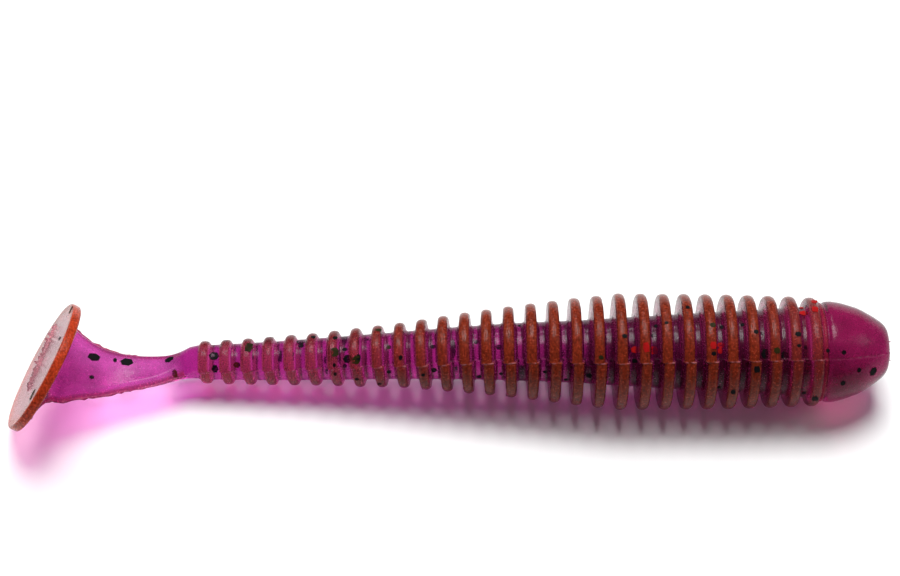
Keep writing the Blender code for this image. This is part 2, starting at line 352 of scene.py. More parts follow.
def ring_shape(half_width, half_thick, roundness):
    """Points of a ring round the axis as rows of (across, up), their outward normals, the signed
    distance of each to the nearest parting line, and its side of the parting plane (1, 0 or -1)."""
    outline = half_outline(half_width, half_thick, roundness)
    length = np.concatenate([[0], np.cumsum(np.linalg.norm(np.diff(outline, axis=0), axis=1))])
    edge = SEAM_COLUMNS[-1]
    near = list(SEAM_COLUMNS[:-1])
    inner = np.linspace(edge, length[-1] - edge, COLUMNS // 2 + 1)
    at = np.concatenate([near, inner, [length[-1] - m for m in reversed(near[1:])]])
    upper = np.stack([np.interp(at, length, outline[:, i]) for i in (0, 1)], 1)
    points = np.concatenate([upper, [[-half_width, 0.0]], (upper[::-1] * [1, -1])[:-1]])
    gap_upper = np.where(at < length[-1] / 2, at, at - length[-1])
    gap = np.concatenate([gap_upper, [0.0], -gap_upper[::-1][:-1]])
    side = np.concatenate([np.ones(len(at)), [0.0], -np.ones(len(at) - 1)])
    side[0] = 0.0
    around = np.roll(points, -1, 0) - np.roll(points, 1, 0)
    normal = np.stack([around[:, 1], -around[:, 0]], 1)
    normal /= np.linalg.norm(normal, axis=1)[:, None]
    return points, normal, gap, side


def grid_normals(p, first, last):
    """Outward normals of a grid of rows along the tail direction and columns round it."""
    down = np.zeros_like(p)
    down[1:-1] = p[2:] - p[:-2]
    down[0], down[-1] = p[1] - p[0], p[-1] - p[-2]
    around = np.roll(p, -1, 1) - np.roll(p, 1, 1)
    n = np.cross(around, down)
    n /= np.maximum(np.linalg.norm(n, axis=2), 1e-12)[:, :, None]
    n[0], n[-1] = first, last
    return n


def add_object(name, data):
    obj = bpy.data.objects.new(name, data)
    bpy.context.scene.collection.objects.link(obj)
    return obj


def store(mesh, key, values):
    """Stores one number or one vector for each point of the mesh, under the name that a material reads."""
    values = np.asarray(values, np.float32).reshape(len(mesh.vertices), -1)
    kind, field = ("FLOAT", "value") if values.shape[1] == 1 else ("FLOAT_VECTOR", "vector")
    mesh.attributes.new(key, kind, "POINT").data.foreach_set(field, values.ravel())


def small_mesh(name, points, faces, material):
    """Object from points in metres, which keeps their places at rest in millimetres."""
    mesh = bpy.data.meshes.new(name)
    mesh.from_pydata(points, [], faces)
    mesh.update()
    store(mesh, "rest", [v / MM for p in points for v in p])
    mesh.materials.append(material)
    return add_object(name, mesh)


def grid_mesh(name, points, attributes, material, cap_first=False, cap_last=False):
    """Object from a grid of points in millimetres. A cap closes the first or last row with a fan."""
    rows, cols = points.shape[:2]
    co = points.reshape(-1, 3)
    index = np.arange(rows * cols).reshape(rows, cols)
    nxt = np.roll(index, -1, 1)
    quads = np.stack([index[:-1], nxt[:-1], nxt[1:], index[1:]], -1).reshape(-1, 4)
    faces = quads.tolist()
    extra = {key: values.reshape(rows * cols, -1) for key, values in attributes.items()}
    for wanted, row, turned in ((cap_first, 0, True), (cap_last, rows - 1, False)):
        if not wanted:
            continue
        middle = len(co)
        co = np.concatenate([co, points[row].mean(0)[None]])
        for key in extra:
            extra[key] = np.concatenate([extra[key], extra[key][index[row]].mean(0)[None]])
        for i, j in zip(index[row].tolist(), nxt[row].tolist()):
            faces.append((middle, j, i) if turned else (middle, i, j))
    mesh = bpy.data.meshes.new(name)
    mesh.from_pydata((co * MM).tolist(), [], faces)
    mesh.update()
    mesh.shade_smooth()
    for key, values in extra.items():
        store(mesh, key, values)
    store(mesh, "rest", co)
    mesh.materials.append(material)
    return add_object(name, mesh)


def skin(name, rows, material, cap_first=False):
    """Skin through rings. Each row is centre, tail direction, seam direction, half width, half
    thickness, roundness and crest share (0 on the core, 1 on a rib's crest)."""
    points, outward, seams, sides = [], [], [], []
    for centre, d, w, a, b, roundness, _ in rows:
        shape, normal, gap, side = ring_shape(a, b, roundness)
        basis = np.array([w, d.cross(w)])
        points.append(np.array(centre) + shape @ basis)
        outward.append(normal @ basis)
        seams.append(gap)
        sides.append(side)
    p, seam, side = np.array(points), np.array(seams), np.array(sides)
    columns = p.shape[1]
    crest = np.repeat([[row[6]] for row in rows], columns, 1)
    thick = np.repeat([[2 * row[4]] for row in rows], columns, 1)
    warm = np.repeat([[row[6] * table_at(WARM_TABLE, row[0].x)] for row in rows], columns, 1)
    if rows[-1][0].x < TAIL_LINE[2][0]:
        # The edges of the flat tail take most of the crests' colour
        warm = warm + 0.75 * np.exp(-((seam / 0.5) ** 4))
    flash = [table_at(FLASH_TABLE, row[0].x) for row in rows]
    normals = grid_normals(p, outward[0], outward[-1])
    lift = np.zeros(seam.shape)
    fin = np.exp(-((seam / 0.055) ** 2))
    for i, j in np.ndindex(*seam.shape):
        at = Vector(p[i, j])
        rough = 0.012 * bumpiness(at, 0.55, 3.0) * (0.4 + crest[i, j])
        lift[i, j] = 0.02 * bumpiness(at, 1.9) + rough
        if fin[i, j] > 0.02:
            ragged = 0.75 + 0.9 * bumpiness(at, 0.35, 9.0) + 0.8 * bumpiness(at, 0.14, 5.0)
            side_share = 4 * crest[i, j] * (1 - crest[i, j])
            lift[i, j] += fin[i, j] * max(0.1, ragged) * (flash[i] + RIB_SIDE_FLASH * side_share)
    directions = np.array([row[1] for row in rows])
    mismatch = np.array([[table_at(MISMATCH_TABLE, row[0].x)] for row in rows])
    p = p + normals * lift[:, :, None] + directions[:, None, :] * (mismatch * side)[:, :, None]
    attributes = {"crest": crest, "warm": warm, "thick": thick, "seam": fin}
    return grid_mesh(name, p, attributes, material, cap_first)


def rib_half(crest, core, base):
    """Half a rib from the middle of its crest to the core: distance along the axis, radius and crest
    share. The crest's edge is rounded, the side has draft, so that the rib is thicker at its base, and
    a fillet joins it to the core."""
    tall = crest - core
    half = base * CREST_SHARE
    edge = min(0.3, 0.5 * tall)
    fillet = min(0.22, 0.35 * tall)
    rows = [(0.0, crest, 1.0), (0.1 * half, crest, 1.0)]
    for a in np.radians((18, 36, 54, 72, 90)):
        share = 1 - 0.3 * (1 - math.cos(a))
        rows.append((half * math.sin(a) ** 0.9, crest - edge * (1 - math.cos(a)), share))
    top, low = crest - edge, core + fillet
    for t in (0.2, 0.4, 0.6, 0.8, 1.0):
        rows.append((half + (base - half) * t, top + (low - top) * t, 0.7 * (1 - t) + 0.12 * t))
    for a in np.radians((30, 60, 90)):
        share = 0.12 * (1 - a / math.radians(90))
        rows.append((base + fillet * (1 - math.cos(a)), low - fillet * math.sin(a), share))
    return rows


def follow_head(obj):
    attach(obj, "head")


def follow_valley(obj):
    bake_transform(obj)


def follow_neck(obj):
    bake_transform(obj)


def follow_stem(obj):
    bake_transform(obj)


def follow_paddle(obj):
    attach(obj, "tail_paddle")


def valley_skin(k, material):
    """Skin from the middle of rib k, across the valley, to the middle of rib k + 1."""
    m1, m2, joint = rib_middle(k), rib_middle(k + 1), valley(k)
    d1, d2 = rib_direction(k), rib_direction(k + 1)
    reach1, reach2 = (joint - m1).length, (m2 - joint).length
    core = table_at(CORE_TABLE, k + 0.5)
    first = rib_half(rib_radius(k), table_at(CORE_TABLE, k + 0.25), base_reach(k))
    second = rib_half(rib_radius(k + 1), table_at(CORE_TABLE, k + 0.75), base_reach(k + 1))
    profile = [(u - reach1, r, c) for u, r, c in first]
    gap_start, gap_end = profile[-1][0], reach2 - second[-1][0]
    for t in (0.25, 0.5, 0.75):
        profile.append((gap_start + (gap_end - gap_start) * t, core, 0.0))
    profile += [(reach2 - u, r, c) for u, r, c in reversed(second)]
    rows = []
    for u, r, c in profile:
        t = (u + reach1) / (reach1 + reach2)
        d = d1.lerp(d2, t).normalized()
        centre = m1.lerp(joint, t).lerp(joint.lerp(m2, t), t)
        rows.append((centre, d, seam_direction(centre.x, d), r, r, 1.0, c))
    obj = skin(f"body_skin_{k:02d}", rows, material)
    follow_valley(obj)
    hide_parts(f"segment_{k + 1:02d}")


def head_skin(material):
    """Head with its lip and the front half of the first rib, drawn from the nose back."""
    m, d = rib_middle(1), Vector((-1, 0, 0))
    half = rib_half(rib_radius(1), HEAD_CORE, base_reach(1))
    rows = []
    for u, r in reversed(HEAD_PROFILE):
        lean = (max(0.0, u - LEAN_FROM) / HEAD_PROFILE[-1][0]) ** 1.5
        centre = m + Vector((u, 0, 0)) + NOSE_SHIFT * lean
        rows.append((centre, d, seam_direction(centre.x, d), r, r, 1.0, 0.3 * (u < LIP_END)))
    before_lip = [row for row in half if row[0] < 0.56]
    for u, r, c in reversed(before_lip):
        centre = m + Vector((u, 0, 0))
        rows.append((centre, d, seam_direction(centre.x, d), r, r, 1.0, c))
    obj = skin("head_skin", rows, material, cap_first=True)
    follow_head(obj)
    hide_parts("head", "segment_01")


def nose_nibs(material):
    """Torn stubs where the casting was cut from its sprue, at the rim of the nose."""
    points, faces = [], []
    tip = HEAD_PROFILE[-1][0] - 0.1
    for angle, radius, size, length in NIBS:
        turn = math.radians(angle)
        out = Vector((0, -math.cos(turn), math.sin(turn)))
        middle = rib_middle(1) + NOSE_SHIFT * 0.8 + Vector((tip, 0, 0)) + out * radius
        around = Vector((0, out.z, -out.y))
        first = len(points)
        for i in range(8):
            corner = math.pi * i / 4
            points.append((middle + (out * math.cos(corner) + around * math.sin(corner)) * size) * MM)
        points.append((middle + Vector((length, 0, 0)) + out * size * 0.8) * MM)
        ring = list(range(first, first + 8))
        faces.append(ring[::-1])
        faces += [(i, j, first + 8) for i, j in zip(ring, ring[1:] + ring[:1])]
    follow_head(small_mesh("nose_nibs", points, faces, material))


def tail_row(x):
    """Ring of the tail at x, counted as the tables count, in the form that skin takes."""
    y, z, width, thick, roundness, tilt = smooth_rows(TAIL_LINE, x)
    y2, z2 = smooth_rows(TAIL_LINE, x - 0.3)[:2]
    y1, z1 = smooth_rows(TAIL_LINE, x + 0.3)[:2]
    run = min(x + 0.3, TAIL_LINE[0][0]) - max(x - 0.3, TAIL_LINE[-1][0])
    d = Vector((-run, y2 - y1, z2 - z1)).normalized()
    w = Vector((0, -math.cos(math.radians(tilt)), math.sin(math.radians(tilt))))
    w = (w - d * w.dot(d)).normalized()
    return (Vector((x, y, z)) + TO_ROW, d, w, width / 2, thick / 2, float(roundness), 0.0)


def neck_skin(material):
    """From the middle of the last rib to half way down the neck."""
    m = rib_middle(RIB_COUNT)
    d1 = rib_direction(RIB_COUNT)
    half = rib_half(rib_radius(RIB_COUNT), table_at(CORE_TABLE, RIB_COUNT), base_reach(RIB_COUNT))
    rows = []
    for u, r, c in half:
        centre = m + d1 * u
        rows.append((centre, d1, seam_direction(centre.x, d1), r, r, 1.0, c))
    for x in (-22.35, -22.65, -23.0, NECK_SPLIT):
        rows.append(tail_row(x))
    obj = skin("neck_skin", rows, material)
    follow_neck(obj)
    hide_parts("tail_neck")


def tail_skin(name, xs, material):
    """Stretch of the tail across one of its joints."""
    rows = [tail_row(x) for x in xs]
    obj = skin(name, rows, material)
    follow_stem(obj)
    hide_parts("tail_stem")


def disc_axes():
    """Directions in the plane of the disc: along the web's end, and square to it."""
    level = Vector((-DISC_NORMAL.y, DISC_NORMAL.x, 0)).normalized()
    turn = math.radians(WEB_TURN_DEG)
    w = level * math.cos(turn) + DISC_RISE * math.sin(turn)
    return w, DISC_NORMAL.cross(w)


def web_skin(material):
    """Fan of the tail and its flare onto the disc."""
    rows = [tail_row(x) for x in np.linspace(WEB_SPLIT, TAIL_LINE[-1][0], 16)]
    w = disc_axes()[0]
    front_middle = DISC_CENTRE + TO_ROW - DISC_NORMAL * DISC_THICKNESS
    root = front_middle + DISC_RISE * WEB_RISE + w * WEB_ASIDE
    last = rows[-1]
    way = root + DISC_NORMAL * 0.05 - last[0]
    back = DISC_NORMAL * way.dot(DISC_NORMAL)
    for t in WEB_FLARE_STEPS:
        centre = last[0] + back * t + (way - back) * t**3.2
        d = last[1].lerp(DISC_NORMAL, t).normalized()
        side = last[2].lerp(w, t**3)
        side = (side - d * side.dot(d)).normalized()
        half_width = last[3] + (WEB_FLARE_WIDTH / 2 - last[3]) * t**3.5
        half_thick = last[4] + (WEB_FLARE_THICKNESS / 2 - last[4]) * t**4
        rows.append((centre, d, side, half_width, half_thick, WEB_FLARE_ROUNDNESS, 0.0))
    obj = skin("web_skin", rows, material)
    follow_paddle(obj)
    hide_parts("tail_web")


def disc_skin(material):
    """Kicking disc with a rounded rim, drawn from the middle of its front face round to its rear
    face. The profile's rows are height over the rear face, radius and how orange the plastic is."""
    w, n = disc_axes()
    r, t = DISC_RADIUS, DISC_THICKNESS
    profile = [(-t, 0.5, 0.0), (-t, 2.0, 0.0), (-t, 4.0, 0.0), (-t, 5.0, 0.05)]
    profile.append((-t + 0.01, r - 0.34, 0.35))
    for a in np.radians((10, 30, 50, 70, 90)):
        out, warm = math.sin(a), 0.6 + 0.4 * math.sin(a)
        profile.append((-t + 0.2 - 0.2 * math.cos(a), r - 0.24 + 0.24 * out, warm))
    profile.append((-t / 2, r, 1.0))
    for a in np.radians((90, 70, 50, 30, 10)):
        out, warm = math.sin(a), 0.6 + 0.4 * math.sin(a)
        profile.append((-0.2 + 0.2 * math.cos(a), r - 0.2 + 0.2 * out, warm))
    profile += [(0.0, r - 0.3, 0.3), (-0.01, 5.0, 0.05), (-0.03, 4.0, 0.0)]
    profile += [(-0.04, 2.0, 0.0), (-0.04, 0.5, 0.0)]
    centre = DISC_CENTRE + TO_ROW
    p = np.zeros((len(profile), DISC_COLUMNS, 3))
    for i, (u, radius, _) in enumerate(profile):
        for j in range(DISC_COLUMNS):
            angle = 2 * math.pi * j / DISC_COLUMNS
            spoke = w * math.cos(angle) + n * math.sin(angle)
            at = centre + DISC_NORMAL * u + spoke * radius
            inward = 0.02 * (1 + bumpiness(at, 0.8)) * min(1.0, radius / r)
            p[i, j] = at - spoke * inward + DISC_NORMAL * 0.012 * bumpiness(at, 1.1, 4.0)
    warm = np.repeat([[row[2]] for row in profile], DISC_COLUMNS, 1)
    attributes = {"crest": warm, "warm": warm, "thick": np.full(warm.shape, t)}
    obj = grid_mesh("disc_skin", p, attributes, material, True, True)
    follow_paddle(obj)
    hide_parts("paddle_disc")


def disc_flash(material):
    """Ragged ridge left by the mould's parting line across the disc's rear face."""
    w, n = disc_axes()
    steps = 90
    p = np.zeros((steps, 6, 3))
    for i in range(steps):
        t = i / (steps - 1)
        waver = 0.12 * noise.noise(Vector((t * 7, 1, 2))) - 0.9
        at = DISC_CENTRE + TO_ROW + w * (7.0 * t - 4.7) + n * waver
        ends = math.sin(math.pi * t) ** 0.35
        coarse = 0.6 + noise.noise(Vector((t * 26, 5, 1)))
        fine = 0.6 * noise.noise(Vector((t * 61, 2, 8)))
        tall = 0.06 + 0.36 * ends * max(0.0, coarse + fine)
        lean = 0.14 * noise.noise(Vector((t * 19, 7, 3)))
        section = (
            (-0.1, -0.08),
            (0.1, -0.08),
            (0.13, 0.02),
            (0.03 + lean, tall),
            (-0.03 + lean, tall),
            (-0.13, 0.02),
        )
        for j, (across, up) in enumerate(section):
            p[i, j] = at + n * across + DISC_NORMAL * (up - 0.03)
    full = np.ones((steps, 6))
    attributes = {"crest": 0 * full, "warm": 0 * full, "thick": 0.3 * full}
    obj = grid_mesh("disc_flash", p, attributes, material, True, True)
    follow_paddle(obj)


def rib_beside(x):
    """Number of the rib whose middle is nearest to x, counted along the row."""
    return min(range(1, RIB_COUNT + 1), key=lambda k: abs(rib_middle(k).x - x))


def surface_radius(x):
    """Radius of the head or body at x, counted along the row."""
    ahead = x - rib_middle(1).x
    if ahead > HEAD_PROFILE[0][0]:
        return table_at(HEAD_PROFILE[:-2], ahead)
    k = rib_beside(x)
    away = x - rib_middle(k).x
    core = table_at(CORE_TABLE, k - math.copysign(0.25, away))
    profile = rib_half(rib_radius(k), core, base_reach(k))
    return float(np.interp(abs(away), [row[0] for row in profile], [row[1] for row in profile]))


def axis_at(x):
    """Point on the axis of the head and body at x, counted along the row."""
    ribs = [rib_middle(k) for k in range(RIB_COUNT, 0, -1)]
    xs = [m.x for m in ribs]
    return Vector((x, ribs[0].y, float(np.interp(x, xs, [m.z for m in ribs]))))


def round_spot(x, angle):
    """Place on the head or body as a function of distances along it, round it and outward. On the
    head, the place follows the slope of the surface."""
    k = rib_beside(x)
    middle = rib_middle(k).x
    widest = 1.0
    if abs(x - middle) < CREST_REACH:
        x = middle + CREST_PULL * (x - middle)
        widest = TALL_CREST_REACH if k < LOW_RIBS_FROM else LOW_CREST_REACH
    elif abs(x - middle) < VALLEY_FROM:
        x = middle + math.copysign(VALLEY_FROM, x - middle)
    flat, steep = surface_radius(x), 0.0
    if x > rib_middle(1).x + 1.3:
        steep = (surface_radius(x + 0.2) - surface_radius(x - 0.2)) / 0.4

    def at(along, around, out):
        along = max(-widest, min(widest, along))
        radius = flat + steep * along + out
        turn = math.radians(angle) + around / max(radius, 0.5)
        return axis_at(x + along) + Vector((0, -math.cos(turn), math.sin(turn))) * radius

    return at


def tail_spot(x, across):
    """Place on the upper face of the flat tail, in the same form."""

    def at(along, around, out):
        centre, d, w, a, b, roundness, _ = tail_row(x + along)
        u = min(abs(across + around), 0.98 * a)
        oval = b * math.sqrt(1 - (u / a) ** 2)
        plate = min(b, (a - u) / PLATE_BEVEL)
        share = min(1.0, (1 - roundness) / PLATE_SPAN)
        level = oval * (1 - share) + plate * share
        return centre + w * math.copysign(u, across + around) + d.cross(w) * (level + out)

    return at


def disc_spot(across, up, face):
    """Place on the disc's rear face (1), which dips toward its middle, or its front face (-1)."""
    w, n = disc_axes()
    surface = DISC_CENTRE + TO_ROW + w * across + n * up
    dip = -0.005 if math.hypot(across, up) > 4 else -0.035
    level = dip if face > 0 else -DISC_THICKNESS

    def at(along, around, out):
        return surface + w * along + n * around + DISC_NORMAL * (level + face * out)

    return at


def flake_mesh(name, flakes, material, chance):
    """Thin six-sided flakes, each with its own turn and slightly uneven corners."""
    points, faces, shades = [], [], []
    for at, size, shade in flakes:
        turn = chance.uniform(0, math.pi)
        stretch = chance.uniform(0.85, 1.2)
        first = len(points)
        for out in (FLAKE_LIFT, -FLAKE_SINK):
            for i in range(6):
                angle = turn + math.pi * i / 3
                along = size / 2 * math.cos(angle) * stretch
                around = size / 2 * math.sin(angle) / stretch
                points.append(at(along, around, out) * MM)
        top = list(range(first, first + 6))
        volume = (points[top[1]] - points[top[0]]).cross(points[top[2]] - points[top[0]])
        outward = points[first] - points[first + 6]
        order = range(6) if volume.dot(outward) > 0 else range(5, -1, -1)
        ring = [top[i] for i in order]
        faces.append(ring)
        faces.append([i + 6 for i in reversed(ring)])
        for i, j in zip(ring, ring[1:] + ring[:1]):
            faces.append([j, i, i + 6, j + 6])
        shades += [shade] * 12
    obj = small_mesh(name, points, faces, material)
    store(obj.data, "shade", shades)
    return obj


def hidden_flakes(chance):
    """Random flakes for the top, the far side and the underside, as rows like BLACK_FLAKES."""
    rows = []
    for _ in range(HIDDEN_FLAKES):
        large = chance.randrange(10) < LARGE_IN_TEN
        size = chance.uniform(0.85, 1.0) if large else chance.uniform(0.35, 0.55)
        x, angle = chance.uniform(*HIDDEN_X), chance.uniform(*HIDDEN_ANGLES)
        rows.append((x, angle, size, chance.choice((0, 0, 0, 1))))
    return rows


def place_of(x):
    """Which stretch of skin covers the head or body at x, counted as the tables count: 0 for the
    head, and k for the valley behind rib k."""
    row_x = x + TO_ROW.x
    if row_x > rib_middle(1).x:
        return 0
    return max(k for k in range(1, RIB_COUNT + 1) if rib_middle(k).x >= row_x)


def add_flakes(name, table, material, chance):
    """Flakes of one colour on the head and body, one object for each stretch of skin."""
    found = {}
    for x, angle, size, shade in table:
        spot = round_spot(x + TO_ROW.x, angle)
        found.setdefault(place_of(x), []).append((spot, size, shade))
    for k, flakes in sorted(found.items()):
        obj = flake_mesh(f"{name}_{k:02d}", flakes, material, chance)
        if k == 0:
            follow_head(obj)
        elif k == RIB_COUNT:
            follow_neck(obj)
        else:
            follow_valley(obj)


def add_tail_flakes(material, chance):
    """Flakes of the tail's table, three on the disc's rear face and a few random ones on its front."""
    front, rear, web = [], [], []
    for x, across, size, shade in TAIL_FLAKES:
        group = front if x > STEM_SPLIT else rear if x > WEB_SPLIT else web
        group.append((tail_spot(x, across), size, shade))
    obj = flake_mesh("tail_flakes_front", front, material, chance)
    follow_stem(obj)
    obj = flake_mesh("tail_flakes_rear", rear, material, chance)
    follow_stem(obj)
    follow_paddle(flake_mesh("web_flakes", web, material, chance))
    disc = [(disc_spot(across, up, 1), size, shade) for across, up, size, shade in DISC_FLAKES]
    for _ in range(DISC_FRONT_FLAKES):
        angle, reach = chance.uniform(0, 2 * math.pi), chance.uniform(5.0, 5.5)
        spot = disc_spot(reach * math.cos(angle), reach * math.sin(angle), -1)
        disc.append((spot, chance.uniform(0.4, 0.9), 0))
    follow_paddle(flake_mesh("disc_flakes", disc, material, chance))


def srgb(r, g, b):
    """Linear colour from 0-255 display values."""
    values = [v / 255 for v in (r, g, b)]
    return tuple(v / 12.92 if v <= 0.04045 else ((v + 0.055) / 1.055) ** 2.4 for v in values)


MAROON = srgb(138, 22, 76)
VIOLET = srgb(168, 36, 132)
LIGHT_VIOLET = srgb(192, 76, 162)
PINK = srgb(204, 72, 130)
DARK_PINK = srgb(140, 42, 64)
SEAM_PINK = srgb(222, 150, 165)
BROWN = srgb(124, 42, 22)
# Painted shade that darkens the underside of thick plastic
SHADE_PURPLE = srgb(58, 8, 52)
DARK_RED = srgb(140, 12, 14)
BLACK = (0.0, 0.0, 0.0)

# Share of the lamps' red, green and blue light that gets through each surface of the plastic
THICK_TINT = (0.14, 0.035, 0.11)
BODY_TINT = (0.31, 0.06, 0.3)
TAIL_TINT = (0.74, 0.52, 0.7)

# Thicknesses in millimetres between which a colour or a tint goes from one to the other
BODY_STOPS = (2.5, 7.5)
TAIL_STOPS = (1.4, 2.3)

FLAKE_GLOSS = 0.05


class Nodes:
    """A new material and short ways to add nodes to it."""

    def __init__(self, name):
        self.material = bpy.data.materials.new(name)
        self.material.use_nodes = True
        self.tree = self.material.node_tree
        self.shader = self.tree.nodes["Principled BSDF"]

    def join(self, value, socket):
        """Feeds a socket from another node's output, or sets it to a plain value."""
        if isinstance(value, bpy.types.NodeSocket):
            self.tree.links.new(value, socket)
        elif isinstance(value, tuple):
            socket.default_value = (*value, 1)
        else:
            socket.default_value = value

    def attribute(self, name, output="Fac"):
        node = self.tree.nodes.new("ShaderNodeAttribute")
        node.attribute_name = name
        return node.outputs[output]

    def noise(self, scale, detail=2.0, roughness=0.5):
        """Noise fixed to the plastic, with the scale in turns per millimetre."""
        node = self.tree.nodes.new("ShaderNodeTexNoise")
        self.join(scale, node.inputs["Scale"])
        self.join(detail, node.inputs["Detail"])
        self.join(roughness, node.inputs["Roughness"])
        self.join(self.attribute("rest", "Vector"), node.inputs["Vector"])
        return node.outputs["Fac"]

    def ramp(self, value, low, high, to_low=0.0, to_high=1.0):
        node = self.tree.nodes.new("ShaderNodeMapRange")
        for name, item in (("Value", value), ("From Min", low), ("From Max", high)):
            self.join(item, node.inputs[name])
        self.join(to_low, node.inputs["To Min"])
        self.join(to_high, node.inputs["To Max"])
        return node.outputs["Result"]

    def mix(self, share, a, b):
        """Colour between a and b."""
        node = self.tree.nodes.new("ShaderNodeMix")
        node.data_type = "RGBA"
        self.join(share, node.inputs[0])
        self.join(a, node.inputs[6])
        self.join(b, node.inputs[7])
        return node.outputs[2]

    def math(self, kind, a, b):
        node = self.tree.nodes.new("ShaderNodeMath")
        node.operation = kind
        self.join(a, node.inputs[0])
        self.join(b, node.inputs[1])
        return node.outputs[0]

    def bump(self, height, distance, strength=1.0):
        node = self.tree.nodes.new("ShaderNodeBump")
        self.join(strength, node.inputs["Strength"])
        self.join(distance, node.inputs["Distance"])
        self.join(height, node.inputs["Height"])
        self.join(node.outputs["Normal"], self.shader.inputs["Normal"])

    def let_light_through(self, tint):
        """Lets the lamps shine through the surface, each crossing multiplying their light by the tint."""
        path = self.tree.nodes.new("ShaderNodeLightPath")
        clear = self.tree.nodes.new("ShaderNodeBsdfTransparent")
        self.join(tint, clear.inputs["Color"])
        either = self.tree.nodes.new("ShaderNodeMixShader")
        self.join(path.outputs["Is Shadow Ray"], either.inputs[0])
        self.join(self.shader.outputs["BSDF"], either.inputs[1])
        self.join(clear.outputs[0], either.inputs[2])
        self.join(either.outputs[0], self.tree.nodes["Material Output"].inputs["Surface"])

    def set(self, **values):
        for name, value in values.items():
            self.join(value, self.shader.inputs[name.replace("_", " ")])


def stretched_noise(nodes, turns, detail):
    """Noise fixed to the plastic, with its own scale along each axis in turns per millimetre."""
    scaled = nodes.tree.nodes.new("ShaderNodeVectorMath")
    scaled.operation = "MULTIPLY"
    nodes.join(nodes.attribute("rest", "Vector"), scaled.inputs[0])
    scaled.inputs[1].default_value = turns
    noisy = nodes.tree.nodes.new("ShaderNodeTexNoise")
    nodes.join(1.0, noisy.inputs["Scale"])
    nodes.join(detail, noisy.inputs["Detail"])
    nodes.join(scaled.outputs[0], noisy.inputs["Vector"])
    return noisy.outputs["Fac"]


def plastisol(name, thin, thick, stops, flank, crest, clear, shaded, tints, tint_stops):
    """Translucent plastic with colours for thin places, thick places, the flanks of the ribs and their
    crests, all finely mottled, with painted shade that darkens it toward the underside. The crests
    carry fine tool marks that run round the bait, as bumps and as painted glints of lighter crest colour
    along them. Clear is the share of the light that goes into the plastic, and shaded how dark the
    painted shade on its underside is."""
    nodes = Nodes(name)
    fine = nodes.noise(5.0, 3.0, 0.6)
    marks = stretched_noise(nodes, (11.0, 1.1, 1.1), 2.0)
    raised = nodes.attribute("crest")
    warmth = nodes.attribute("warm")
    thickness = nodes.attribute("thick")

    clouds = nodes.ramp(nodes.noise(0.45, 2.0), 0.35, 0.7, 0.0, 0.4)
    colour = nodes.mix(nodes.ramp(thickness, *stops), thin, thick)
    colour = nodes.mix(clouds, colour, BLACK)
    colour = nodes.mix(nodes.ramp(raised, 0.03, 0.3), colour, flank)
    colour = nodes.mix(nodes.ramp(raised, 0.45, 0.9), colour, DARK_PINK)

    dull, bright = tuple(v * 0.5 for v in crest), tuple(v * 1.35 for v in crest)
    mottled = nodes.mix(nodes.ramp(fine, 0.36, 0.64), dull, bright)
    colour = nodes.mix(nodes.ramp(warmth, 0.15, 0.9), colour, mottled)
    # Painted highlight: thin glints of lighter crest colour along the tool marks on the orange crests
    glint_marks = nodes.ramp(marks, 0.56, 0.72, 0.0, 0.35)
    painted_glints = nodes.math("MULTIPLY", glint_marks, nodes.ramp(warmth, 0.1, 0.4))
    colour = nodes.mix(painted_glints, colour, tuple(min(1, v * 2.4) for v in crest))

    broken = nodes.ramp(nodes.noise(2.6, 1.0), 0.42, 0.62)
    torn = nodes.math("MULTIPLY", nodes.attribute("seam"), broken)
    colour = nodes.mix(nodes.ramp(torn, 0.1, 0.9, 0.0, 0.3), colour, SEAM_PINK)

    # Painted shade: lower down the plastic, judged by height at rest, the colour goes toward SHADE_PURPLE,
    # on thick plastic only
    place = nodes.tree.nodes.new("ShaderNodeSeparateXYZ")
    nodes.join(nodes.attribute("rest", "Vector"), place.inputs[0])
    low = nodes.ramp(place.outputs["Z"], 5.5, 1.0)
    low = nodes.math("MULTIPLY", low, nodes.ramp(thickness, 3.0, 6.0, 0.0, shaded))
    nodes.set(Base_Color=nodes.mix(low, colour, SHADE_PURPLE))

    nodes.set(Roughness=nodes.ramp(fine, 0.3, 0.7, 0.14, 0.3))
    nodes.set(Transmission_Weight=nodes.ramp(warmth, 0.3, 0.9, clear, clear * 0.25))
    nodes.set(IOR=1.22, Specular_IOR_Level=nodes.ramp(raised, 0.2, 0.9, 0.3, 0.45))
    relief = nodes.math("MULTIPLY", marks, nodes.ramp(raised, 0.5, 0.9, 0.0, 3.2))
    nodes.bump(nodes.math("ADD", nodes.noise(3.2, 4.0, 0.6), relief), 0.000016)
    nodes.let_light_through(nodes.mix(nodes.ramp(thickness, *tint_stops), *tints))
    return nodes.material


def flake_film(name, first, second, third):
    """Dull foil whose colour is the first, second or third for a flake's shade of 0, 1 or 2."""
    nodes = Nodes(name)
    shade = nodes.attribute("shade")
    fine = nodes.noise(4.0, 2.0)
    colour = nodes.mix(nodes.ramp(shade, 0.0, 1.0), first, second)
    colour = nodes.mix(nodes.ramp(shade, 1.0, 2.0), colour, third)
    worn = tuple(v * 1.8 for v in first)
    nodes.set(Base_Color=nodes.mix(nodes.ramp(fine, 0.35, 0.7, 0.0, 0.5), colour, worn))
    nodes.set(Roughness=nodes.ramp(fine, 0.3, 0.7, 0.45, 0.7), Specular_IOR_Level=FLAKE_GLOSS)
    return nodes.material


